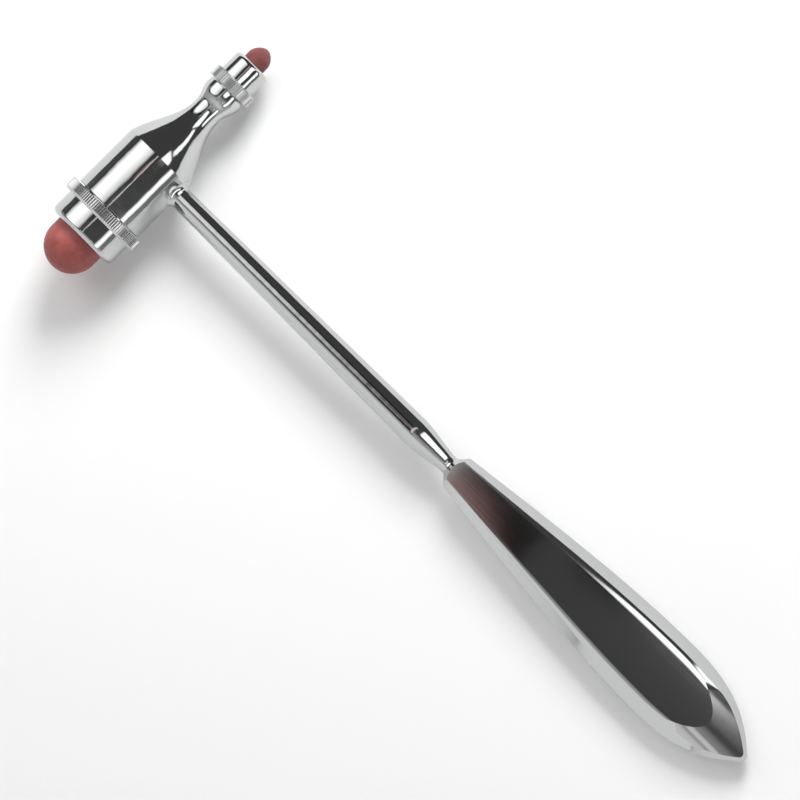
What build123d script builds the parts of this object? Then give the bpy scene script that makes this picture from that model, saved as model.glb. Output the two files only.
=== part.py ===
from build123d import *
from math import asin, atan, atan2, cos, hypot, radians, sin, tan
import os

# Reflex hammer: a turned, bottle-shaped head with a rubber bumper screwed on at each end, a slim
# shaft and a flat, pointed handle. It lies on a table as it comes to rest: on the large knurled
# ring, on the head's shoulder and on the lower edge of its handle, with the small end in the air.
# Sizes are in millimetres and degrees.
# Places along the head are measured from the shaft's axis, towards the large or the small end.
# Places along the shaft are measured from the head's axis, and those along the handle from the
# front of its collar.

# Head
body_r = 11.25
large_shoulder = 16.3
shoulder_at = 3.6
shoulder_angle = 17.0
shoulder_pull = 8.5
neck_at = 22.3
neck_r = 4.45
neck_pull = 7.0
flare_pull = 2.3
collar_r = 5.95
collar_length = 1.7
small_shoulder = 29.9
edge_break = 0.25

# Large end: spigot, screw cap and bumper
large_spigot_r = 9.0
large_thread_depth = 0.32
large_ring_r = 13.0
large_ring_width = 3.6
large_ring_chamfer = 0.7
large_teeth = 108
large_sleeve_r = 11.1
large_cap_length = 10.8
large_lip = 2.0
large_cap_corner = 1.7
large_bumper_r = 7.95
large_bumper_reach = 11.0
large_root = 3.3
large_fullness = 0.552

# Small end: spigot, screw cap and bumper
small_spigot_r = 4.1
small_thread_depth = 0.25
small_ring_r = 7.15
small_ring_width = 3.5
small_ring_chamfer = 0.5
small_teeth = 68
small_sleeve_r = 5.65
small_cap_length = 10.2
small_lip = 1.6
small_cap_corner = 1.4
small_bumper_r = 3.5
small_bumper_reach = 5.6
small_nose_length = 3.9
small_root = 3.0
small_fullness = 0.46

# Knurling and clearances
tooth_depth = 0.28
seat_gap = 0.3
thread_gap = 0.1
rubber_gap = 0.1
braze_gap = 0.05

# Shaft
shaft_foot_r = 3.1
shaft_swell_r = 4.3
swell_at = 107.5
swell_round = 30.0
shaft_neck_r = 2.75
shaft_neck_length = 1.8
shaft_neck_round = 6.0
nose_flare = 0.9
foot_fillet = 1.6
foot_height = 1.0
tenon_r = 2.2
tenon_depth = 7.0
tang_r = 2.6
tang_depth = 14.0

# Handle
handle_front = 121.6
handle_length = 113.2
collar_half_width = 5.15
cone_nose_r = 3.0
cone_length = 1.8
cone_angle = 45.0
cone_crown_r = 60.0
handle_half_width = 12.25
widest_to_tip = 32.7
side_angle = 6.6
tip_angle = 43.0
tip_round = 1.6
half_thickness = 4.1
panel_collar_half = 3.3
panel_half_width = 8.3
panel_side_angle = 4.5
panel_tip_gap = 3.0
panel_tip_round = 0.8
panel_edge_round = 1.5
front_pull = 27.0
middle_pull = 26.0
widest_pull = 15.5
tip_pull = 11.5
panel_widest_pull = 12.0
panel_tip_pull = 7.0
facet_length = 13.7
tip_half_thickness = 1.3
facet_crown_r = 16.0

# Places that follow from the sizes at each end
large_cap_back = large_shoulder + seat_gap
large_cap_front = large_cap_back + large_cap_length
large_lip_back = large_cap_front - large_lip
large_root_front = large_lip_back - rubber_gap
large_root_back = large_root_front - large_root
large_spigot_end = large_root_back - rubber_gap
large_bore_r = large_spigot_r + large_thread_depth + thread_gap
large_tip = large_cap_front + large_bumper_reach

small_cap_back = small_shoulder + seat_gap
small_cap_front = small_cap_back + small_cap_length
small_lip_back = small_cap_front - small_lip
small_root_front = small_lip_back - rubber_gap
small_root_back = small_root_front - small_root
small_spigot_end = small_root_back - rubber_gap
small_bore_r = small_spigot_r + small_thread_depth + thread_gap
small_tip = small_cap_front + small_bumper_reach

handle_tip = handle_front + handle_length
widest_at = handle_length - widest_to_tip
facet_at = handle_length - facet_length
facet_angle = atan((half_thickness - tip_half_thickness) / facet_length)


def long_side(collar_half, angle, half_width, tip, tip_r, after_widest, before_tip):
    """One long side of the handle in plan: two curves that meet at its widest place."""
    lean = radians(angle)
    slope = radians(tip_angle)
    end = (tip - tip_r + tip_r * sin(slope), tip_r * cos(slope))
    first = [
        (-cone_length, collar_half),
        (-cone_length + front_pull * cos(lean), collar_half + front_pull * sin(lean)),
        (widest_at - middle_pull, half_width),
        (widest_at, half_width),
    ]
    second = [
        (widest_at, half_width),
        (widest_at + after_widest, half_width),
        (end[0] - before_tip * cos(slope), end[1] + before_tip * sin(slope)),
        end,
    ]
    return first, second


panel_tip = handle_length - panel_tip_gap
edge_side = long_side(
    collar_half_width,
    side_angle,
    handle_half_width,
    handle_length,
    tip_round,
    widest_pull,
    tip_pull,
)
panel_side = long_side(
    panel_collar_half,
    panel_side_angle,
    panel_half_width,
    panel_tip,
    panel_tip_round,
    panel_widest_pull,
    panel_tip_pull,
)

# Resting attitude. The head stands on its large ring and dips until the shoulder or the small
# ring reaches the table, which sets the roll. Then the handle dips until the lower rounded edge of
# its panel reaches the table, which sets the pitch.
large_contact = large_cap_back + edge_break
small_contact = small_cap_back + small_ring_width - small_ring_chamfer
roll = min(
    atan((large_ring_r - body_r) / (shoulder_at + large_contact)),
    atan((large_ring_r - small_ring_r) / (small_contact + large_contact)),
)
axis_height = large_ring_r * cos(roll) - large_contact * sin(roll)


def touch_pitch(place):
    """The pitch that brings this place of the panel's rounded lower edge down to the table."""
    reach = handle_front + place.X
    bevel = atan2(half_thickness, handle_half_width - panel_half_width)
    side = place.Y - panel_edge_round * tan(bevel / 2)
    depth = half_thickness - panel_edge_round
    drop = (axis_height - panel_edge_round - side * sin(roll)) / cos(roll)
    return asin(drop / hypot(reach, depth)) - atan2(depth, reach)


def before_facet(place):
    """Whether the flat panel still stands at this place of its edge."""
    return place.X < facet_at - place.Y**2 / (2 * facet_crown_r * tan(facet_angle))


samples = 60
with BuildLine() as panel_edge:
    Bezier(*panel_side[0])
    Bezier(*panel_side[1])
places = [edge @ (i / samples) for edge in panel_edge.edges() for i in range(samples + 1)]
pitch = min(touch_pitch(place) for place in places if before_facet(place))

# The head, the shaft and the face of the handle give three directions at rest. The origin is
# below the middle of the whole hammer, on the table.
head_dir = Vector(cos(roll), 0, -sin(roll))
shaft_dir = Vector(-sin(roll) * sin(pitch), -cos(pitch), -cos(roll) * sin(pitch))
face_dir = shaft_dir.cross(head_dir)
low_x = -(large_tip - large_bumper_r) * cos(roll) - large_bumper_r
high_x = small_tip * cos(roll)
low_y = -handle_tip * cos(pitch)
high_y = large_ring_r
centre = Vector(-(low_x + high_x) / 2, -(low_y + high_y) / 2, axis_height)

head_axis = Axis(centre, head_dir)
shaft_axis = Axis(centre, shaft_dir)
small_plane = Plane(centre, x_dir=head_dir, z_dir=shaft_dir)
large_plane = Plane(centre, x_dir=-head_dir, z_dir=-shaft_dir)
plan = Plane(centre, x_dir=shaft_dir, z_dir=face_dir)
handle_plan = Plane(centre + shaft_dir * handle_front, x_dir=shaft_dir, z_dir=face_dir)


def across_head(direction, place):
    """A plane square to the head's axis, this far out in this direction."""
    return Plane(centre + direction * place, x_dir=face_dir, z_dir=direction)


def across_shaft(place):
    """A plane square to the shaft's axis, this far from the head's axis."""
    return Plane(centre + shaft_dir * place, x_dir=face_dir, z_dir=shaft_dir)


def head_section():
    """Half of the head's section, from the end of one spigot to the end of the other."""
    lean = radians(shoulder_angle)
    shoulder_end = (
        shoulder_at + shoulder_pull * cos(lean),
        body_r - shoulder_pull * sin(lean),
    )
    flare_end = small_shoulder - collar_length
    with BuildSketch(small_plane) as section:
        with BuildLine():
            Polyline(
                (-large_spigot_end, 0),
                (-large_spigot_end, large_spigot_r - edge_break),
                (-large_spigot_end + edge_break, large_spigot_r),
                (-large_shoulder, large_spigot_r),
                (-large_shoulder, body_r - edge_break),
                (-large_shoulder + edge_break, body_r),
                (shoulder_at, body_r),
            )
            Bezier(
                (shoulder_at, body_r),
                shoulder_end,
                (neck_at - neck_pull, neck_r),
                (neck_at, neck_r),
            )
            Bezier(
                (neck_at, neck_r),
                (neck_at + flare_pull, neck_r),
                (flare_end - flare_pull, collar_r),
                (flare_end, collar_r),
            )
            Polyline(
                (flare_end, collar_r),
                (small_shoulder - edge_break, collar_r),
                (small_shoulder, collar_r - edge_break),
                (small_shoulder, small_spigot_r),
                (small_spigot_end - edge_break, small_spigot_r),
                (small_spigot_end, small_spigot_r - edge_break),
                (small_spigot_end, 0),
                (-large_spigot_end, 0),
            )
        make_face()
    return section.sketch


def cap_section(plane, back, front, lip_back, ring, sleeve_r, corner, bore_r, hole_r):
    """Section of a ring and its sleeve, bored for the spigot and open in front for the bumper."""
    ring_r, ring_width, ring_chamfer = ring
    ring_front = back + ring_width
    with BuildSketch(plane) as section:
        with BuildLine():
            Polyline(
                (front, sleeve_r - corner),
                (front, hole_r),
                (lip_back, hole_r),
                (lip_back, bore_r),
                (back, bore_r),
                (back, ring_r - edge_break),
                (back + edge_break, ring_r),
                (ring_front - ring_chamfer, ring_r),
                (ring_front, ring_r - ring_chamfer),
                (ring_front, sleeve_r),
                (front - corner, sleeve_r),
            )
            TangentArc((front - corner, sleeve_r), (front, sleeve_r - corner), tangent=(1, 0))
        make_face()
    return section.sketch


def knurl_grooves(direction, back, ring_r, teeth):
    """Straight knurling: square-cornered grooves round a ring, their sides at 45 degrees."""
    groove = tooth_depth * 2**0.5
    with BuildSketch(across_head(direction, back)) as grooves:
        with PolarLocations(ring_r, teeth):
            Rectangle(groove, groove, rotation=45)
    return grooves.sketch


def bumper_section(plane, root_back, root_front, root_r, r, nose_length, tip, fullness):
    """Half section of a bumper: a root held behind the cap's lip, a stem and a rounded nose."""
    nose_start = tip - nose_length
    with BuildSketch(plane) as section:
        with BuildLine():
            Polyline(
                (tip, 0),
                (root_back, 0),
                (root_back, root_r),
                (root_front, root_r),
                (root_front, r),
                (nose_start, r),
            )
            Bezier(
                (nose_start, r),
                (nose_start + nose_length * fullness, r),
                (tip, r * fullness),
                (tip, 0),
            )
        make_face()
    return section.sketch


# Head: turned from one bar, with a spigot at each end and a blind socket for the shaft
with BuildPart() as head:
    revolve(head_section(), axis=head_axis)
    with BuildSketch(across_shaft(body_r - tenon_depth - braze_gap)):
        Circle(tenon_r + braze_gap)
    extrude(amount=body_r, mode=Mode.SUBTRACT)

# Shaft: a foot brazed on to the head, a slow swell, a short neck and a tang for the handle
with BuildPart() as shaft:
    foot_top = body_r + foot_height
    foot_r = shaft_foot_r + foot_fillet
    foot_base = body_r - tenon_depth / 2
    nose_at = handle_front - cone_length
    tang_end = nose_at + tang_depth
    with BuildSketch(plan):
        with BuildLine():
            Polyline(
                (foot_base, 0),
                (foot_base, foot_r),
                (foot_top - foot_fillet, foot_r),
            )
            TangentArc(
                (foot_top, shaft_foot_r), (foot_top - foot_fillet, foot_r), tangent=(-1, 0)
            )
            FilletPolyline(
                (foot_top, shaft_foot_r),
                (swell_at, shaft_swell_r),
                (nose_at - shaft_neck_length, shaft_neck_r),
                (nose_at - nose_flare, shaft_neck_r),
                radius=[swell_round, shaft_neck_round],
            )
            TangentArc(
                (nose_at - nose_flare, shaft_neck_r), (nose_at, cone_nose_r), tangent=(1, 0)
            )
            Polyline(
                (nose_at, cone_nose_r),
                (nose_at, tang_r),
                (tang_end, tang_r),
                (tang_end, 0),
                (foot_base, 0),
            )
        make_face()
    revolve(axis=shaft_axis)
    revolve(head_section(), axis=head_axis, mode=Mode.SUBTRACT)
    with BuildSketch(across_shaft(body_r - tenon_depth)):
        Circle(tenon_r)
    extrude(amount=tenon_depth + foot_height)

# Handle: bevelled all round, with a flat panel on each face, a conical front and a facet towards
# the tip that rises from the point to the panel
with BuildPart() as handle:
    for level, side, tip in (
        (-half_thickness, panel_side, panel_tip),
        (0, edge_side, handle_length),
        (half_thickness, panel_side, panel_tip),
    ):
        with BuildSketch(handle_plan.offset(level)):
            with BuildLine():
                start = side[0][0]
                end = side[1][-1]
                for curve in side:
                    Bezier(*curve)
                    Bezier(*[(x, -y) for x, y in curve])
                ThreePointArc(end, (tip, 0), (end[0], -end[1]))
                Line(start, (start[0], -start[1]))
            make_face()
    loft(ruled=True)
    for up, across in ((face_dir, head_dir), (-face_dir, -head_dir)):
        facet_start = handle_plan.origin + shaft_dir * facet_at + up * half_thickness
        slope = shaft_dir * cos(facet_angle) - up * sin(facet_angle)
        with BuildSketch(Plane(facet_start, x_dir=across, z_dir=slope)):
            with Locations((0, -facet_crown_r)):
                Rectangle(
                    2 * facet_crown_r,
                    facet_crown_r + 2 * half_thickness,
                    align=(Align.CENTER, Align.MIN),
                )
                Circle(facet_crown_r, mode=Mode.SUBTRACT)
        extrude(amount=2 * (handle_length - facet_at), both=True, mode=Mode.SUBTRACT)
    faces_of_panels = handle.faces().filter_by(GeomType.PLANE).sort_by(SortBy.AREA)[-2:]
    panel_edges = faces_of_panels.edges()
    front_edges = handle.faces().sort_by(shaft_axis)[0].edges()
    fillet([edge for edge in panel_edges if edge not in front_edges], panel_edge_round)
    # A cone turned on the front of the collar, its flank hardly rounded, and the socket for the tang
    cone_rise = collar_half_width
    cone_run = cone_rise / tan(radians(cone_angle))
    with BuildSketch(handle_plan):
        with BuildLine():
            Polyline(
                (-cone_length + cone_run, cone_nose_r + cone_rise),
                (-cone_length - cone_run, cone_nose_r + cone_rise),
                (-cone_length - cone_run, cone_nose_r),
                (-cone_length, cone_nose_r),
            )
            RadiusArc(
                (-cone_length, cone_nose_r),
                (-cone_length + cone_run, cone_nose_r + cone_rise),
                cone_crown_r,
            )
        make_face()
    revolve(axis=shaft_axis, mode=Mode.SUBTRACT)
    with BuildSketch(across_shaft(nose_at)):
        Circle(tang_r + braze_gap)
    extrude(amount=tang_depth + braze_gap, mode=Mode.SUBTRACT)

# Caps: each turns on the thread of its spigot, and its lip holds the root of its bumper
with BuildPart() as large_cap:
    revolve(
        cap_section(
            large_plane,
            large_cap_back,
            large_cap_front,
            large_lip_back,
            (large_ring_r, large_ring_width, large_ring_chamfer),
            large_sleeve_r,
            large_cap_corner,
            large_bore_r,
            large_bumper_r + rubber_gap,
        ),
        axis=head_axis,
    )
    extrude(
        knurl_grooves(-head_dir, large_cap_back, large_ring_r, large_teeth),
        amount=large_ring_width,
        mode=Mode.SUBTRACT,
    )

with BuildPart() as small_cap:
    revolve(
        cap_section(
            small_plane,
            small_cap_back,
            small_cap_front,
            small_lip_back,
            (small_ring_r, small_ring_width, small_ring_chamfer),
            small_sleeve_r,
            small_cap_corner,
            small_bore_r,
            small_bumper_r + rubber_gap,
        ),
        axis=head_axis,
    )
    extrude(
        knurl_grooves(head_dir, small_cap_back, small_ring_r, small_teeth),
        amount=small_ring_width,
        mode=Mode.SUBTRACT,
    )

# Bumpers: red rubber, a full half-round nose at the large end and a blunter one at the small end
with BuildPart() as large_bumper:
    revolve(
        bumper_section(
            large_plane,
            large_root_back,
            large_root_front,
            large_bore_r - rubber_gap,
            large_bumper_r,
            large_bumper_r,
            large_tip,
            large_fullness,
        ),
        axis=head_axis,
    )

with BuildPart() as small_bumper:
    revolve(
        bumper_section(
            small_plane,
            small_root_back,
            small_root_front,
            small_bore_r - rubber_gap,
            small_bumper_r,
            small_nose_length,
            small_tip,
            small_fullness,
        ),
        axis=head_axis,
    )

head.part.label = "head"
shaft.part.label = "shaft"
handle.part.label = "handle"
large_cap.part.label = "large_cap"
small_cap.part.label = "small_cap"
large_bumper.part.label = "large_bumper"
small_bumper.part.label = "small_bumper"

os.makedirs("parts", exist_ok=True)
export_step(head.part, "parts/head.step")
export_step(shaft.part, "parts/shaft.step")
export_step(handle.part, "parts/handle.step")
export_step(large_cap.part, "parts/large_cap.step")
export_step(small_cap.part, "parts/small_cap.step")
export_step(large_bumper.part, "parts/large_bumper.step")
export_step(small_bumper.part, "parts/small_bumper.step")
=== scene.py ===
from math import atan, atan2, cos, hypot, pi, radians, sin, sqrt, tan

import bpy
from mathutils import Matrix, Vector


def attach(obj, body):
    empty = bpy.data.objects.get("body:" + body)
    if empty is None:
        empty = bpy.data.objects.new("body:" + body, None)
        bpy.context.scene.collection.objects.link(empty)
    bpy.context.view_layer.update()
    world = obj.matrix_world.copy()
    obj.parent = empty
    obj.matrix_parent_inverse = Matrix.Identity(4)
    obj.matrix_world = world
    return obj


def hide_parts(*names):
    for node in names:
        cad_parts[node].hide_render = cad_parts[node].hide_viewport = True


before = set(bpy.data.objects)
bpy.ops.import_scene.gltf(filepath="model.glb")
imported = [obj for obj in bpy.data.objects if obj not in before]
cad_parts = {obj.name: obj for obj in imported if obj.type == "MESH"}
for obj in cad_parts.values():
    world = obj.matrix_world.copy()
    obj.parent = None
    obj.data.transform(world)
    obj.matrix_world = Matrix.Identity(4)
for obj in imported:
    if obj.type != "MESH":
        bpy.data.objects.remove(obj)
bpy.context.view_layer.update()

# Reflex hammer in polished chrome, with two screwed-on caps that hold red rubber bumpers.
# The pieces are drawn in the hammer's own directions, in millimetres: x runs along the head to
# the small end, y along the shaft from the handle to the head, and z up from the panel's face.
# The origin of that drawing is where the head's axis crosses the shaft's.
CROSSING = Vector((-0.003772, 0.110838, 0.011516))
ROLL = radians(4.891)
PITCH = radians(1.862)
HEAD_DIR = Vector((cos(ROLL), 0, -sin(ROLL)))
SHAFT_DIR = Vector((-sin(ROLL) * sin(PITCH), -cos(PITCH), -cos(ROLL) * sin(PITCH)))
FACE_DIR = HEAD_DIR.cross(-SHAFT_DIR)

# Head
BODY_R = 11.25
SHOULDER_AT = 3.6
SHOULDER_ANGLE = radians(17)
SHOULDER_PULL = 8.5
NECK_AT = 22.3
NECK_R = 4.45
NECK_PULL = 7.0
FLARE_PULL = 2.3
COLLAR_R = 5.95
COLLAR_LENGTH = 1.7
SMALL_SHOULDER = 29.9

# Ends: back of the cap, front, back of its lip, ring, sleeve, corner, bore, hole, and the bumper
LARGE = {
    "way": -1, "back": 16.6, "front": 27.4, "lip": 25.4, "ring_r": 13.0, "ring_width": 3.6,
    "chamfer": 0.7, "teeth": 108, "sleeve_r": 11.1, "corner": 1.7, "bore_r": 9.42, "hole_r": 8.05,
    "spigot_r": 9.0, "spigot_end": 21.9, "thread_r": 9.32, "pitch": 1.0, "shoulder": 16.3,
    "bumper_r": 7.95, "root": (22.0, 25.3), "root_r": 8.9, "nose": 7.95, "tip": 38.4, "full": 0.552,
}
SMALL = {
    "way": 1, "back": 30.2, "front": 40.4, "lip": 38.8, "ring_r": 7.15, "ring_width": 3.5,
    "chamfer": 0.5, "teeth": 68, "sleeve_r": 5.65, "corner": 1.4, "bore_r": 4.45, "hole_r": 3.6,
    "spigot_r": 4.1, "spigot_end": 35.6, "thread_r": 4.35, "pitch": 0.75, "shoulder": 29.9,
    "bumper_r": 3.5, "root": (35.7, 38.7), "root_r": 4.2, "nose": 3.9, "tip": 46.0, "full": 0.46,
}
TOOTH_DEPTH = 0.28

# Shaft and handle
SHAFT_FOOT_R = 3.1
SWELL_R = 4.3
SWELL_AT = 107.5
SWELL_ROUND = 30.0
SHAFT_NECK_R = 2.75
SHAFT_NECK_LENGTH = 1.8
NECK_ROUND = 6.0
NOSE_FLARE = 0.9
BRAZE_HEIGHT = 2.6
BRAZE_SPREAD = 1.9
HANDLE_FRONT = 121.6
HANDLE_LENGTH = 113.2
CONE_LENGTH = 1.8
CONE_NOSE_R = 3.0
HALF_THICKNESS = 4.1
TIP_HALF_THICKNESS = 1.3
FACET_AT = 99.5
FACET_CROWN_R = 16.0
FACET_ANGLE = atan((HALF_THICKNESS - TIP_HALF_THICKNESS) / (HANDLE_LENGTH - FACET_AT))


# Lines

def bezier(points, steps):
    """Points along a cubic curve, its first one left out."""
    a, b, c, d = [Vector(p) for p in points]
    out = []
    for i in range(1, steps + 1):
        t = i / steps
        u = 1 - t
        out.append(tuple(a * u**3 + b * 3 * u * u * t + c * 3 * u * t * t + d * t**3))
    return out


def rounded(corners, steps=5):
    """A line through corners (x, y, radius), each rounded by an arc of that radius."""
    out = [corners[0][:2]]
    for i in range(1, len(corners) - 1):
        before, here, after = [Vector(corners[k][:2]) for k in (i - 1, i, i + 1)]
        radius = corners[i][2] if len(corners[i]) > 2 else 0
        back = (before - here).normalized()
        on = (after - here).normalized()
        turn = pi - back.angle(on)
        if radius <= 0 or turn < 1e-4:
            out.append(tuple(here))
            continue
        reach = radius * tan(turn / 2)
        middle = here + (back + on).normalized() * radius / cos(turn / 2)
        first = here + back * reach - middle
        last = here + on * reach - middle
        for k in range(steps + 1):
            t = k / steps
            arm = first.normalized().slerp(last.normalized(), t) if turn < 3.1 else first
            out.append(tuple(middle + arm * radius))
    out.append(corners[-1][:2])
    return out


# Modelling

def deselect():
    """Back to object mode with nothing selected."""
    if bpy.context.object and bpy.context.object.mode != "OBJECT":
        bpy.ops.object.mode_set(mode="OBJECT")
    bpy.ops.object.select_all(action="DESELECT")


def drawn_line(name, points):
    """A line of edges, drawn by extruding a vertex from point to point."""
    deselect()
    bpy.ops.mesh.primitive_plane_add(size=1)
    obj = bpy.context.object
    obj.name = name
    obj.data.name = name
    bpy.ops.object.mode_set(mode="EDIT")
    bpy.ops.mesh.select_all(action="SELECT")
    bpy.ops.mesh.merge(type="CENTER")
    at = Vector(points[0])
    bpy.ops.transform.translate(value=at)
    for point in points[1:]:
        step = Vector(point) - at
        bpy.ops.mesh.extrude_region_move(TRANSFORM_OT_translate={"value": step})
        at = Vector(point)
    return obj


def close_up():
    """Merges the seam and the poles of the mesh in edit mode and turns its faces outwards."""
    bpy.ops.mesh.select_all(action="SELECT")
    bpy.ops.mesh.remove_doubles(threshold=0.0015)
    bpy.ops.mesh.normals_make_consistent(inside=False)


def turned(name, points, axis, steps, smooth=30):
    """A solid turned from half its section, round the x or the y axis."""
    obj = drawn_line(name, points)
    bpy.ops.mesh.select_all(action="SELECT")
    bpy.ops.mesh.spin(steps=steps, angle=2 * pi, center=(0, 0, 0), axis=axis)
    close_up()
    bpy.ops.object.mode_set(mode="OBJECT")
    bpy.ops.object.shade_smooth_by_angle(angle=radians(smooth))
    return obj


def place(obj, body, slot, material, *nodes):
    """Puts a piece drawn in the hammer's directions in its place, and ties it to the CAD model."""
    deselect()
    turn = Matrix((HEAD_DIR, -SHAFT_DIR, FACE_DIR)).transposed().to_4x4()
    obj.matrix_world = Matrix.Translation(CROSSING) @ turn @ Matrix.Scale(0.001, 4)
    obj.select_set(True)
    bpy.context.view_layer.objects.active = obj
    bpy.ops.object.transform_apply(location=True, rotation=True, scale=True)
    for one in material if isinstance(material, list) else [material]:
        obj.data.materials.append(one)
    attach(obj, body)
    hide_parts(*nodes)
    return obj


# Materials

def linear(code):
    """An sRGB hex colour as linear numbers."""
    parts = [int(code[i:i + 2], 16) / 255 for i in (1, 3, 5)]
    return (*[c / 12.92 if c <= 0.04045 else ((c + 0.055) / 1.055) ** 2.4 for c in parts], 1)


def add(tree, kind, inputs=None, **settings):
    """Adds a node with its settings, its values and its links."""
    node = tree.nodes.new(kind)
    for name, value in settings.items():
        setattr(node, name, value)
    for key, value in (inputs or {}).items():
        if isinstance(value, bpy.types.NodeSocket):
            tree.links.new(value, node.inputs[key])
        else:
            node.inputs[key].default_value = value
    return node


def new_material(name):
    """An empty material: its node tree and its Principled shader."""
    material = bpy.data.materials.new(name)
    material.use_nodes = True
    tree = material.node_tree
    return material, tree, tree.nodes["Principled BSDF"]


def own_directions(tree, scale):
    """Object coordinates turned to the hammer's own directions and scaled, in 1/m."""
    coordinates = add(tree, "ShaderNodeTexCoord")
    turn = Matrix((HEAD_DIR, -SHAFT_DIR, FACE_DIR)).transposed()
    unturned = add(tree, "ShaderNodeMapping", {
        "Vector": coordinates.outputs["Object"],
        "Rotation": tuple(turn.inverted().to_euler()),
    })
    return add(tree, "ShaderNodeMapping", {
        "Vector": unturned.outputs["Vector"], "Scale": scale,
    }).outputs["Vector"]


def chrome(name, base, roughness, ripple_mm, ripple_um, scratch=None):
    """Chrome plate over polished brass or steel, with the slow ripples of hand polishing."""
    material, tree, shader = new_material(name)
    shader.inputs["Base Color"].default_value = linear(base)
    shader.inputs["Metallic"].default_value = 1
    shader.inputs["Roughness"].default_value = roughness
    ripple = add(tree, "ShaderNodeTexNoise", {
        "Vector": own_directions(tree, (1, 1, 1)), "Scale": 1000 / ripple_mm, "Detail": 1.5,
        "Roughness": 0.45,
    })
    bump = add(tree, "ShaderNodeBump", {
        "Height": ripple.outputs["Fac"], "Strength": 1, "Distance": ripple_um * 1e-6,
    })
    normal = bump.outputs["Normal"]
    if scratch:
        across_mm, along_mm, depth_um, direction = scratch
        scale = [1000 / across_mm] * 3
        scale[direction] = 1000 / along_mm
        lines = add(tree, "ShaderNodeTexNoise", {
            "Vector": own_directions(tree, scale), "Scale": 1, "Detail": 2, "Roughness": 0.6,
        })
        fine = add(tree, "ShaderNodeBump", {
            "Height": lines.outputs["Fac"], "Normal": normal, "Strength": 1,
            "Distance": depth_um * 1e-6,
        })
        normal = fine.outputs["Normal"]
    tree.links.new(normal, shader.inputs["Normal"])
    return material


# Chrome plate reflects a little over half of what it faces, evenly in colour. The ripples of hand
# buffing, some 5 mm apart, make the edges of the reflections waver, and hairlines of wear dull
# them. The real hairlines are too fine to show, so they are drawn 0.5 to 0.8 mm apart.
polished = chrome("Polished chrome plate", "#C3C4C4", 0.085, 4.5, 75, (0.5, 9, 4.0, 0))
shaft_chrome = chrome(
    "Polished chrome plate, drawn shaft", "#C3C4C4", 0.075, 4.5, 45, (0.5, 30, 3.5, 1),
)
panel_chrome = chrome(
    "Polished chrome plate, lengthwise scratches", "#C3C4C4", 0.07, 7, 7, (0.8, 30, 2.6, 1),
)
# The facet at the point keeps the fine lines of its last grinding belt under the plate, which
# smear its reflections sideways.
brushed = chrome("Chrome plate over belt-ground metal", "#B9B9BA", 0.17, 6, 8, (0.5, 9, 4.0, 0))
# The knurl is plated as rolled, so it stays satin and looks paler than the polished metal.
satin = chrome("Satin chrome plate on knurling", "#C6C7C7", 0.23, 3, 4)


# Rubber: blotches from handling, and a grain drawn coarser than the real one so that it shows
BLOTCH_MM = 3.5
GRAIN_MM = 0.6
GRAIN_DEPTH_UM = 25


def rubber(name, base, pale, dark):
    """Moulded nitrile rubber: dull red with a soft, broad sheen, paler where it was handled."""
    material, tree, shader = new_material(name)
    blotch = add(tree, "ShaderNodeTexNoise", {
        "Vector": own_directions(tree, (1, 1, 1)), "Scale": 1000 / BLOTCH_MM, "Detail": 4,
        "Roughness": 0.6,
    })
    tones = add(tree, "ShaderNodeValToRGB", {"Fac": blotch.outputs["Fac"]})
    tones.color_ramp.elements[0].position = 0.3
    tones.color_ramp.elements[0].color = linear(dark)
    tones.color_ramp.elements[1].position = 0.72
    tones.color_ramp.elements[1].color = linear(pale)
    middle = tones.color_ramp.elements.new(0.5)
    middle.color = linear(base)
    tree.links.new(tones.outputs["Color"], shader.inputs["Base Color"])
    shader.inputs["Roughness"].default_value = 0.55
    shader.inputs["IOR"].default_value = 1.5
    grain = add(tree, "ShaderNodeTexNoise", {
        "Vector": own_directions(tree, (1, 1, 1)), "Scale": 1000 / GRAIN_MM, "Detail": 2,
    })
    bump = add(tree, "ShaderNodeBump", {
        "Height": grain.outputs["Fac"], "Strength": 1, "Distance": GRAIN_DEPTH_UM * 1e-6,
    })
    tree.links.new(bump.outputs["Normal"], shader.inputs["Normal"])
    return material


large_rubber = rubber("Red rubber, large bumper", "#A6534E", "#B3605A", "#964842")
small_rubber = rubber("Red rubber, small bumper", "#7C4040", "#864646", "#6D3434")


# Head: turned from one bar, its waist drawn in to a thin neck
lean = SHOULDER_ANGLE
outline = rounded([
    (-LARGE["spigot_end"], 0), (-LARGE["spigot_end"], LARGE["spigot_r"], 0.25),
    (-LARGE["shoulder"], LARGE["spigot_r"]), (-LARGE["shoulder"], BODY_R, 0.25),
    (SHOULDER_AT, BODY_R),
])
outline += bezier([
    (SHOULDER_AT, BODY_R),
    (SHOULDER_AT + SHOULDER_PULL * cos(lean), BODY_R - SHOULDER_PULL * sin(lean)),
    (NECK_AT - NECK_PULL, NECK_R), (NECK_AT, NECK_R),
], 44)
flare_end = SMALL_SHOULDER - COLLAR_LENGTH
outline += bezier([
    (NECK_AT, NECK_R), (NECK_AT + FLARE_PULL, NECK_R), (flare_end - FLARE_PULL, COLLAR_R),
    (flare_end, COLLAR_R),
], 20)
outline += rounded([
    (flare_end, COLLAR_R), (SMALL_SHOULDER, COLLAR_R, 0.25),
    (SMALL_SHOULDER, SMALL["spigot_r"]), (SMALL["spigot_end"], SMALL["spigot_r"], 0.25),
    (SMALL["spigot_end"], 0),
])[1:]
head = turned("head_body", [(x, y, 0) for x, y in outline], (1, 0, 0), 224, 14)
place(head, "hammer", "polished_chrome", polished, "head")


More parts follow.
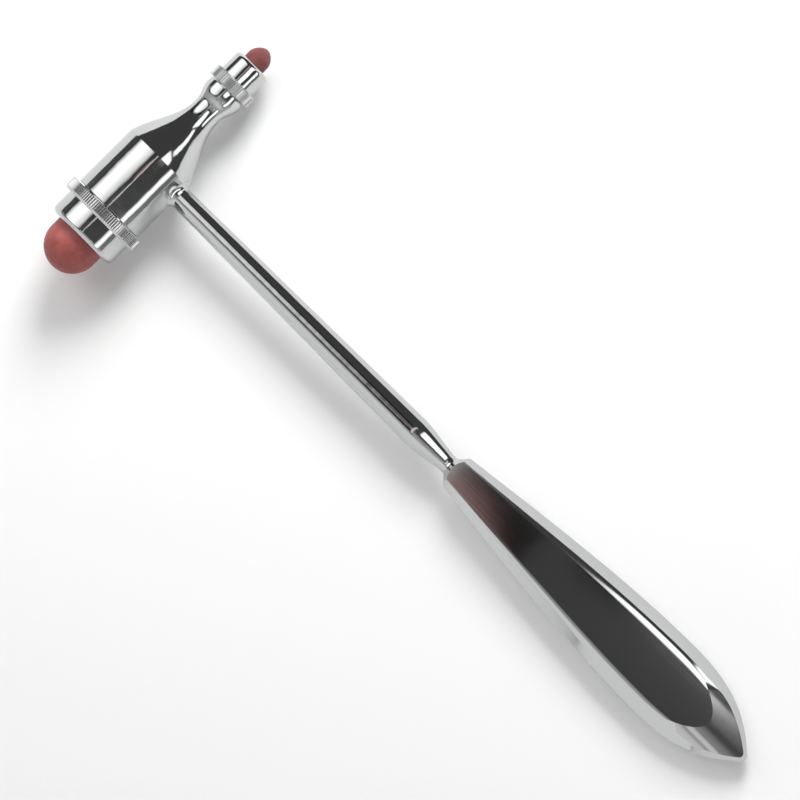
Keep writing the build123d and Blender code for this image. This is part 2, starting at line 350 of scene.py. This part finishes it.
# Threads on the spigots
def thread(name, end):
    """A right-handed thread of 60 degrees, cut off square at both ends of its spigot."""
    pitch = end["pitch"]
    root, crest = end["spigot_r"] - 0.08, end["thread_r"]
    start = end["shoulder"] - pitch
    turns = int((end["spigot_end"] - end["shoulder"]) / pitch) + 3
    line = [
        (start, root, 0), (start + pitch * 0.12, root, 0), (start + pitch * 0.42, crest, 0),
        (start + pitch * 0.58, crest, 0), (start + pitch * 0.88, root, 0), (start + pitch, root, 0),
    ]
    obj = drawn_line(name, line)
    bpy.ops.object.mode_set(mode="OBJECT")
    winding = obj.modifiers.new("Winding", "SCREW")
    winding.axis = "X"
    winding.steps = 72
    winding.render_steps = 72
    winding.iterations = turns
    winding.screw_offset = pitch
    bpy.ops.object.modifier_apply(modifier="Winding")
    bpy.ops.object.mode_set(mode="EDIT")
    close_up()
    for at, side in ((end["shoulder"] + 0.02, True), (end["spigot_end"] - 0.3, False)):
        bpy.ops.mesh.select_all(action="SELECT")
        bpy.ops.mesh.bisect(
            plane_co=(at, 0, 0), plane_no=(1, 0, 0), use_fill=True, clear_inner=side,
            clear_outer=not side,
        )
    if end["way"] < 0:
        bpy.ops.mesh.select_all(action="SELECT")
        bpy.ops.transform.mirror(constraint_axis=(True, False, False), center_override=(0, 0, 0))
        bpy.ops.transform.mirror(constraint_axis=(False, True, False), center_override=(0, 0, 0))
    close_up()
    bpy.ops.object.mode_set(mode="OBJECT")
    bpy.ops.object.shade_smooth_by_angle(angle=radians(20))
    return place(obj, "hammer", "polished_chrome", satin, "head")


thread("large_thread", LARGE)
thread("small_thread", SMALL)


# Shaft: a slow swell, then a short waist and a small flare against the collar's cone
nose_at = HANDLE_FRONT - CONE_LENGTH
swell = rounded([
    (4.4, SHAFT_FOOT_R), (SWELL_AT, SWELL_R, SWELL_ROUND),
    (nose_at - SHAFT_NECK_LENGTH, SHAFT_NECK_R, NECK_ROUND), (nose_at - NOSE_FLARE, SHAFT_NECK_R),
], 28)
flare_sag = CONE_NOSE_R - SHAFT_NECK_R
flare_r = (NOSE_FLARE**2 + flare_sag**2) / (2 * flare_sag)
for k in range(1, 9):
    run = NOSE_FLARE * k / 8
    swell.append((nose_at - NOSE_FLARE + run, SHAFT_NECK_R + flare_r - sqrt(flare_r**2 - run**2)))
swell += [(nose_at + 3, CONE_NOSE_R - 0.4), (nose_at + 3, 0)]
swell.insert(0, (4.4, 0))
shaft = turned("shaft_bar", [(r, -y, 0) for y, r in swell], (0, 1, 0), 128, 18)
place(shaft, "hammer", "polished_chrome", shaft_chrome, "shaft")


def grid(name, rows):
    """A sheet of faces through rows of points: a grid primitive whose vertices are set one by one.
    """
    deselect()
    bpy.ops.mesh.primitive_grid_add(
        x_subdivisions=len(rows[0]) - 1, y_subdivisions=len(rows) - 1, size=2,
    )
    obj = bpy.context.object
    obj.name = name
    obj.data.name = name
    flat = [point for row in rows for point in row]
    for vertex, point in zip(obj.data.vertices, flat):
        vertex.co = point
    return obj


# Braze: a fillet that climbs from the round of the head to the shaft. Its foot lies on a
# cylinder, so each of its lines is set for its own direction.
rows = []
for i in range(145):
    turn = 2 * pi * i / 144
    across, up = cos(turn), sin(turn)

    def on_head(r):
        return sqrt(BODY_R**2 - (r * up) ** 2)

    low, high = SHAFT_FOOT_R + BRAZE_SPREAD, SHAFT_FOOT_R - 0.01
    a = (high, on_head(high) + BRAZE_HEIGHT)
    b = (high, on_head(high) + 0.15)
    c = (low, on_head(low) - 0.03)
    row = [(0.5 * high * across, -(a[1] - 0.4), 0.5 * high * up)]
    for k in range(15):
        t = k / 14
        r = a[0] * (1 - t) ** 2 + 2 * b[0] * t * (1 - t) + c[0] * t * t
        y = a[1] * (1 - t) ** 2 + 2 * b[1] * t * (1 - t) + c[1] * t * t
        row.append((r * across, -y, r * up))
    row.append((c[0] * across, -(c[1] - 0.8), c[0] * up))
    row.append((0.5 * high * across, -(on_head(high) - 1.5), 0.5 * high * up))
    row.append(row[0])
    rows.append(row)
braze = grid("shaft_braze", rows)
bpy.ops.object.mode_set(mode="EDIT")
close_up()
bpy.ops.object.mode_set(mode="OBJECT")
bpy.ops.object.shade_smooth_by_angle(angle=radians(30))
place(braze, "hammer", "polished_chrome", polished, "shaft")


# Handle: a quarter of it is laid out as a sheet, then mirrored across both of its middle planes

def long_side(collar_half, angle, half_width, tip, tip_r, after_widest, before_tip):
    """One long side in plan: two curves that meet at the widest place, and the round of the tip."""
    slope = radians(43)
    widest = HANDLE_LENGTH - 32.7
    end = (tip - tip_r + tip_r * sin(slope), tip_r * cos(slope))
    first = [
        (-CONE_LENGTH, collar_half),
        (-CONE_LENGTH + 27 * cos(angle), collar_half + 27 * sin(angle)),
        (widest - 26, half_width), (widest, half_width),
    ]
    second = [
        (widest, half_width), (widest + after_widest, half_width),
        (end[0] - before_tip * cos(slope), end[1] + before_tip * sin(slope)), end,
    ]
    return first, second, (tip - tip_r, tip_r, slope)


edge_side = long_side(5.15, radians(6.6), 12.25, HANDLE_LENGTH, 1.6, 15.5, 11.5)
panel_side = long_side(3.3, radians(4.5), 8.3, HANDLE_LENGTH - 3.0, 0.8, 12, 7)


def along(side, t):
    """The place on a long side: t runs to 1 at the widest place, to 2 at the tip's round, to 3."""
    if t <= 2:
        a, b, c, d = side[0] if t <= 1 else side[1]
        t = t if t <= 1 else t - 1
        w = ((1 - t) ** 3, 3 * (1 - t) ** 2 * t, 3 * (1 - t) * t * t, t**3)
        return tuple(a[k] * w[0] + b[k] * w[1] + c[k] * w[2] + d[k] * w[3] for k in (0, 1))
    middle, r, slope = side[2]
    turn = (pi / 2 - slope) * (3 - t)
    return (middle + r * cos(turn), r * sin(turn))


def crown(y):
    """How far the crowned facet has dropped this far from its middle, square to the panel."""
    return (FACET_CROWN_R - sqrt(max(FACET_CROWN_R**2 - y * y, 0))) / cos(FACET_ANGLE)


def facet_height(x, y):
    """Height of the tip's facet above the handle's middle plane."""
    return HALF_THICKNESS - tan(FACET_ANGLE) * (x - FACET_AT) - crown(y)


def bevel(t, rise):
    """A point on the bevel: rise is 0 at the sharp edge and 1 at the panel."""
    low, high = along(edge_side, t), along(panel_side, t)
    return (low[0] + (high[0] - low[0]) * rise, low[1] + (high[1] - low[1]) * rise)


def ridge(t):
    """Where the bevel meets the panel or the facet: its place in plan and its rise."""
    x, y = bevel(t, 1)
    if facet_height(x, y) >= HALF_THICKNESS:
        return x, y, 1.0
    low, high = 0.0, 1.0
    for _ in range(40):
        middle = (low + high) / 2
        x, y = bevel(t, middle)
        if facet_height(x, y) > HALF_THICKNESS * middle:
            low = middle
        else:
            high = middle
    return x, y, low


corner_low, corner_high = 1.0, 2.0
for _ in range(50):
    middle = (corner_low + corner_high) / 2
    if ridge(middle)[2] >= 1:
        corner_low = middle
    else:
        corner_high = middle
corner_t = corner_low
INNER, ROUND, OUTER, EDGE = 16, 8, 9, 3


SOFT_AT_COLLAR = 0.2
SOFT_AT_WIDEST = 1.35
SOFT_AT_FACET = 0.3
SOFT_REACHED_AT = 42


def softness(t):
    """Reach of the rounding on each side of the ridge: slight at the collar, broad later on."""
    if t < corner_t:
        run = min(max(along(panel_side, t)[0] / SOFT_REACHED_AT, 0), 1)
        return SOFT_AT_COLLAR + (SOFT_AT_WIDEST - SOFT_AT_COLLAR) * run ** 0.9
    fall = (SOFT_AT_WIDEST - SOFT_AT_FACET) * (t - corner_t) / 0.12
    return max(SOFT_AT_FACET, SOFT_AT_WIDEST - fall)


def section(t):
    """One row of the sheet: from the middle of the face, over the ridge and bevel, to the edge."""
    x, y, rise = ridge(t)
    tilt = 1 if t >= corner_t else max(0, 1 - (corner_t - t) / 0.55) ** 2
    fall = tilt / tan(FACET_ANGLE)
    centre_x = x + fall * crown(y)
    z = HALF_THICKNESS * rise
    low = along(edge_side, t)
    soft = min(softness(t), 0.45 * y)
    leg = hypot(hypot(x - low[0], y - low[1]), z)
    soft_out = min(softness(t), 0.45 * leg)
    row = []
    inside = y - soft
    for k in range(INNER):
        w = inside * k / INNER
        row.append((centre_x - fall * crown(w), w, z))
    start = Vector((centre_x - fall * crown(inside), inside, z))
    top = Vector((x, y, z))
    foot = Vector((low[0], low[1], 0))
    end = top + (foot - top) * (soft_out / leg if leg > 1e-6 else 0)
    for k in range(ROUND):
        s = k / ROUND
        row.append(tuple(start * (1 - s) ** 2 + top * 2 * s * (1 - s) + end * s * s))
    edge_soft = min(0.22, 0.3 * leg)
    last = foot + (top - foot) * (edge_soft / leg if leg > 1e-6 else 0)
    for k in range(OUTER):
        row.append(tuple(end + (last - end) * k / OUTER))
    under = Vector((last[0], last[1], -last[2]))
    for k in range(EDGE + 1):
        s = 0.5 * k / EDGE
        row.append(tuple(last * (1 - s) ** 2 + foot * 2 * s * (1 - s) + under * s * s))
    return row


def cone_r(x):
    """Radius of the cone on the collar's front, this far behind the front."""
    return CONE_NOSE_R + (x + CONE_LENGTH)


def trimmed(j):
    """How far along the side the cone cuts this column of the sheet."""
    low, high = 0.0, 0.2
    for _ in range(40):
        middle = (low + high) / 2
        x, y, z = section(middle)[j]
        if hypot(y, z) > cone_r(x):
            low = middle
        else:
            high = middle
    return high


columns = INNER + ROUND + OUTER + EDGE + 1
cuts = [trimmed(j) for j in range(columns)]
first_full = 0.13
rows = []
cut_row = [section(cuts[j])[j] for j in range(columns)]
for k in range(9):
    row = []
    for x, y, z in cut_row:
        far = hypot(y, z)
        r = CONE_NOSE_R - 0.35 + (far - CONE_NOSE_R + 0.35) * k / 8
        row.append((r - CONE_NOSE_R - CONE_LENGTH, y * r / far, z * r / far))
    rows.append(row)
rows.insert(0, [(rows[0][0][0], 0, 0)] * columns)
for k in range(1, 7):
    rows.append([section(cuts[j] + (first_full - cuts[j]) * k / 6)[j] for j in range(columns)])
places = [first_full + (1 - first_full) * k / 40 for k in range(1, 41)]
places += [1 + (corner_t - 1) * k / 24 for k in range(1, 25)]
places += [corner_t + (2 - corner_t) * k / 44 for k in range(1, 45)]
places += [2 + k / 16 for k in range(1, 17)]
rows += [section(t) for t in places]
facet_row = len(rows) - 60
handle = grid("handle_plate", [[(y, -(HANDLE_FRONT + x), z) for x, y, z in row] for row in rows])
handle.data.materials.append(panel_chrome)
handle.data.materials.append(brushed)
for face in handle.data.polygons:
    row, column = divmod(face.index, columns - 1)
    if row >= facet_row - 1 and column < INNER:
        face.material_index = 1
mirror = handle.modifiers.new("Other side and underside", "MIRROR")
mirror.use_axis = (True, False, True)
mirror.use_clip = False
mirror.merge_threshold = 0.002
bpy.ops.object.modifier_apply(modifier="Other side and underside")
bpy.ops.object.mode_set(mode="EDIT")
close_up()
bpy.ops.object.mode_set(mode="OBJECT")
bpy.ops.object.shade_smooth_by_angle(angle=radians(8.5))
place(handle, "hammer", "polished_chrome", [], "handle")


# Caps: a sleeve with its lip, and a knurled ring

def sleeve(name, end, body, node):
    """The cap's sleeve, bored for its spigot, with a rounded front corner and a lip."""
    way = end["way"]
    line = rounded([
        (end["back"] + 0.1, (end["bore_r"] + end["sleeve_r"]) / 2),
        (end["back"] + 0.1, end["sleeve_r"]),
        (end["front"], end["sleeve_r"], end["corner"]), (end["front"], end["hole_r"], 0.12),
        (end["lip"], end["hole_r"]), (end["lip"], end["bore_r"]),
        (end["back"] + 0.1, end["bore_r"]),
        (end["back"] + 0.1, (end["bore_r"] + end["sleeve_r"]) / 2),
    ], 9)
    obj = turned(name, [(way * x, y, 0) for x, y in line], (1, 0, 0), 192, 25)
    return place(obj, body, "polished_chrome", polished, node)


def knurled_ring(name, end, body, node):
    """The cap's ring: one tooth in eight steps, pressed in between the teeth."""
    way, r, teeth = end["way"], end["ring_r"], end["teeth"]
    back, front = end["back"], end["back"] + end["ring_width"]
    inner = (end["bore_r"] + end["sleeve_r"]) / 2
    line = rounded([
        (back, inner), (back, r, 0.25), (front, r, 0), (front, inner),
    ], 2)
    line = [p for p in line if p[0] < front - 1e-6]
    shade = front - end["chamfer"]
    line += [(back + 1.2, r), (shade - 0.9, r), (shade, r), (front, r - end["chamfer"])]
    line += [(front, inner), (back, inner)]
    obj = drawn_line(name, [(way * x, y, 0) for x, y in line])
    bpy.ops.mesh.select_all(action="SELECT")
    bpy.ops.mesh.spin(steps=teeth * 8, angle=2 * pi, center=(0, 0, 0), axis=(1, 0, 0))
    close_up()
    for reach, depth in ((0, 1), (1, 2 / 3), (2, 1 / 3)):
        bpy.ops.mesh.select_all(action="DESELECT")
        bpy.ops.object.mode_set(mode="OBJECT")
        low = r - TOOTH_DEPTH * depth
        for vertex in obj.data.vertices:
            x, y, z = vertex.co
            step = round(atan2(z, y) / (2 * pi) * teeth * 8) % 8
            vertex.select = min(step, 8 - step) == reach and hypot(y, z) > low + 1e-4
        picked = [v for v in obj.data.vertices if v.select]
        for vertex in picked:
            far = hypot(vertex.co.y, vertex.co.z)
            vertex.co.y *= low / far
            vertex.co.z *= low / far
        bpy.ops.object.mode_set(mode="EDIT")
    bpy.ops.mesh.select_all(action="SELECT")
    bpy.ops.mesh.normals_make_consistent(inside=False)
    bpy.ops.object.mode_set(mode="OBJECT")
    bpy.ops.object.shade_smooth_by_angle(angle=radians(16))
    return place(obj, body, "knurled_chrome", satin, node)


def bumper(name, end, body, node, material):
    """A rubber bumper: a root held behind the lip, a short stem and a rounded nose."""
    way, r = end["way"], end["bumper_r"]
    start = end["tip"] - end["nose"]
    line = [
        (end["root"][0], 0), (end["root"][0], end["root_r"]), (end["root"][1], end["root_r"]),
        (end["root"][1], r), (start, r),
    ]
    line += bezier([
        (start, r), (start + end["nose"] * end["full"], r), (end["tip"], r * end["full"]),
        (end["tip"], 0),
    ], 36)
    obj = turned(name, [(way * x, y, 0) for x, y in line], (1, 0, 0), 144, 30)
    return place(obj, body, "red_rubber", material, node)


sleeve("large_sleeve", LARGE, "large_cap", "large_cap")
knurled_ring("large_ring", LARGE, "large_cap", "large_cap")
bumper("large_rubber", LARGE, "large_bumper", "large_bumper", large_rubber)
sleeve("small_sleeve", SMALL, "small_cap", "small_cap")
knurled_ring("small_ring", SMALL, "small_cap", "small_cap")
bumper("small_rubber", SMALL, "small_bumper", "small_bumper", small_rubber)


# Studio: a pale table, a large round soft box behind the head, a key from the right that lights
# and casts the shadow but isn't reflected, a low strip in front, and a white wall to the left. The
# rest of the room is dark, which gives the chrome its black.

def seen_as_white(tree, strength):
    """Light that only the camera and the reflections see."""
    path = add(tree, "ShaderNodeLightPath")
    either = add(tree, "ShaderNodeMath", {
        0: path.outputs["Is Camera Ray"], 1: path.outputs["Is Glossy Ray"],
    }, operation="MAXIMUM")
    any_ray = add(tree, "ShaderNodeMath", {
        0: either.outputs[0], 1: path.outputs["Is Transmission Ray"],
    }, operation="MAXIMUM")
    scaled = add(tree, "ShaderNodeMath", {0: any_ray.outputs[0], 1: strength}, operation="MULTIPLY")
    return scaled.outputs[0]


deselect()
bpy.ops.mesh.primitive_plane_add(size=6)
floor = bpy.context.object
floor.name = "Table"
paint, tree, shader = new_material("White laminate table")
shader.inputs["Base Color"].default_value = linear("#F4F4F4")
shader.inputs["Roughness"].default_value = 0.9
shader.inputs["Specular IOR Level"].default_value = 0.1
shader.inputs["Emission Color"].default_value = (1, 1, 1, 1)
tree.links.new(seen_as_white(tree, 0.09), shader.inputs["Emission Strength"])
floor.data.materials.append(paint)


def soft_box(name, centre, towards, width, length, levels, edge, corners=8, tint="#FFFFFF"):
    """A glowing card that faces the hammer and fades at its edges, unseen by the camera.

    Its levels are given along its length, from the end that hangs lower; corners 2 makes it round.
    """
    deselect()
    bpy.ops.mesh.primitive_plane_add(size=1)
    card = bpy.context.object
    card.name = name
    card.scale = (width, length, 1)
    card.location = centre
    card.rotation_euler = (Vector(towards) - Vector(centre)).to_track_quat("Z", "Y").to_euler()
    material = bpy.data.materials.new(name)
    material.use_nodes = True
    tree = material.node_tree
    tree.nodes.clear()
    place_on_it = add(tree, "ShaderNodeTexCoord").outputs["Object"]
    at = add(tree, "ShaderNodeSeparateXYZ", {"Vector": place_on_it})
    powers = []
    for axis in ("X", "Y"):
        far = add(tree, "ShaderNodeMath", {0: at.outputs[axis], 1: 2.0}, operation="MULTIPLY")
        size = add(tree, "ShaderNodeMath", {0: far.outputs[0]}, operation="ABSOLUTE").outputs[0]
        powers.append(add(tree, "ShaderNodeMath", {0: size, 1: corners}, operation="POWER"))
    both = add(tree, "ShaderNodeMath", {0: powers[0].outputs[0], 1: powers[1].outputs[0]})
    reach = add(tree, "ShaderNodeMath", {0: both.outputs[0], 1: 1 / corners}, operation="POWER")
    fade = add(tree, "ShaderNodeMapRange", {
        "Value": reach.outputs[0], "From Min": 1.0, "From Max": 1.0 - edge, "To Min": 0.0,
        "To Max": 1.0,
    }, interpolation_type="SMOOTHSTEP")
    along_it = add(tree, "ShaderNodeMath", {0: at.outputs["Y"], 1: 0.5})
    ramp = add(tree, "ShaderNodeValToRGB", {"Fac": along_it.outputs[0]})
    highest = max(level for _, level in levels)
    stops = ramp.color_ramp.elements
    stops[0].position, stops[1].position = levels[0][0], levels[-1][0]
    for _ in levels[1:-1]:
        stops.new(0.5)
    for stop, (position, level) in zip(stops, levels):
        stop.position = position
        stop.color = (level / highest,) * 3 + (1,)
    shaped = add(tree, "ShaderNodeMath", {
        0: fade.outputs[0], 1: ramp.outputs["Color"],
    }, operation="MULTIPLY")
    level = add(tree, "ShaderNodeMath", {0: shaped.outputs[0], 1: highest}, operation="MULTIPLY")
    back = add(tree, "ShaderNodeNewGeometry").outputs["Backfacing"]
    front = add(tree, "ShaderNodeMath", {0: 1.0, 1: back}, operation="SUBTRACT")
    power = add(tree, "ShaderNodeMath", {
        0: level.outputs[0], 1: front.outputs[0],
    }, operation="MULTIPLY")
    glow = add(tree, "ShaderNodeEmission", {"Color": linear(tint), "Strength": power.outputs[0]})
    add(tree, "ShaderNodeOutputMaterial", {"Surface": glow.outputs[0]})
    card.data.materials.append(material)
    card.visible_camera = False
    return card


middle = Vector((0, 0.111, 0.012))


def from_head(off_vertical, azimuth, distance):
    """A point seen from the head at this angle off the vertical, towards this azimuth."""
    slant, round_ = radians(off_vertical), radians(azimuth)
    way = Vector((sin(slant) * cos(round_), sin(slant) * sin(round_), cos(slant)))
    return middle + way * distance


def even(level):
    """The same level all along a card."""
    return [(0, level), (1, level)]


soft_box(
    "Soft box", from_head(36, 90, 0.75), middle, 0.80, 1.03,
    [(0.0, 0.04), (0.30, 2.0), (0.53, 2.0), (1.0, 0.66)], 0.3, corners=2.6,
)
key = soft_box("Key", from_head(52, 20, 0.85), middle, 0.50, 0.50, even(15.5), 0.4)
key.visible_glossy = False
soft_box(
    "Strip", from_head(68.2, -90, 0.7), middle, 0.9, 0.25, [(0, 0), (0.5, 2.9), (1, 0)], 0.15,
)

# Small cards that only show in the chrome: two on the right of the handle and one on the left of
# its point, and above the shaft a brownish one with a bright bar
grip = (0, -0.095, 0.012)
point = (0, -0.12, 0.012)
cards = [
    soft_box("High card", (0.178, -0.095, 0.31), grip, 0.20, 0.32, even(1.9), 0.15),
    soft_box("Low card", (0.36, -0.10, 0.10), (0, -0.10, 0.012), 0.09, 0.28, even(1.9), 0.3),
    soft_box("Point card", (-0.17, -0.20, 0.31), point, 0.09, 0.09, even(1.2), 0.4, 2),
    soft_box(
        "Brown card", (0.018, 0.060, 0.40), (0.018, 0.060, 0), 0.048, 0.080, even(0.62), 0.5, 2.5,
        "#D8ACA8",
    ),
    soft_box("Bar", (0.03, 0.057, 0.36), (0.03, 0.057, 0), 0.5, 0.018, even(1.2), 0.5),
]
for card in cards:
    card.visible_diffuse = False
    card.visible_shadow = False

world = bpy.data.worlds.new("Room")
world.use_nodes = True
bpy.context.scene.world = world
tree = world.node_tree
tree.nodes.clear()
direction = add(tree, "ShaderNodeTexCoord").outputs["Generated"]
look = add(tree, "ShaderNodeSeparateXYZ", {"Vector": direction})
side = add(tree, "ShaderNodeMapRange", {
    "Value": look.outputs["X"], "From Min": 1.0, "From Max": -1.0,
})
# Levels of the room from the dark right (0) to the white wall on the left (1)
ramp = add(tree, "ShaderNodeValToRGB", {"Fac": side.outputs[0]})
levels = [(0.47, 0.07), (0.53, 0.10), (0.565, 0.28), (0.65, 0.42), (0.775, 0.55), (0.83, 0.97)]
ramp.color_ramp.elements[0].position = levels[0][0]
ramp.color_ramp.elements[0].color = (levels[0][1],) * 3 + (1,)
ramp.color_ramp.elements[1].position = levels[-1][0]
ramp.color_ramp.elements[1].color = (levels[-1][1],) * 3 + (1,)
for at, level in levels[1:-1]:
    ramp.color_ramp.elements.new(at).color = (level,) * 3 + (1,)
# A low glow behind the handle
low = add(tree, "ShaderNodeMapRange", {
    "Value": look.outputs["Y"], "From Min": -0.88, "From Max": -0.96, "To Min": 0.0, "To Max": 0.14,
})
wall = add(tree, "ShaderNodeMath", {0: ramp.outputs["Color"], 1: low.outputs[0]}, operation="ADD")
path = add(tree, "ShaderNodeLightPath")
# Matt surfaces get an even room, so that the wall doesn't fill the shadow
evened = add(tree, "ShaderNodeMix", {
    0: path.outputs["Is Diffuse Ray"], 2: wall.outputs[0], 3: 0.2,
}, data_type="FLOAT")
shown = add(tree, "ShaderNodeMix", {
    0: path.outputs["Is Camera Ray"], 2: evened.outputs[0], 3: 1.0,
}, data_type="FLOAT")
room = add(tree, "ShaderNodeBackground", {"Color": (1, 1, 1, 1), "Strength": shown.outputs[0]})
add(tree, "ShaderNodeOutputWorld", {"Surface": room.outputs[0]})

# Camera: above the table, leaning a little towards the handle's end
EYE = Vector((0.163482, -0.584405, 2.429764))
BACK = Vector((0.065759, -0.239549, 0.968655))
UP = Vector((0.719148, 0.684344, 0.120418))
deselect()
bpy.ops.object.camera_add(location=EYE)
camera = bpy.context.object
back = BACK.normalized()
right = UP.cross(back).normalized()
axes = Matrix((right, back.cross(right), back)).transposed().to_4x4()
camera.matrix_world = Matrix.Translation(EYE) @ axes
camera.data.sensor_width = 36
camera.data.lens = 409.9
camera.data.clip_start = 0.01
camera.data.clip_end = 20
bpy.context.scene.camera = camera
bpy.context.scene.view_settings.view_transform = "Standard"
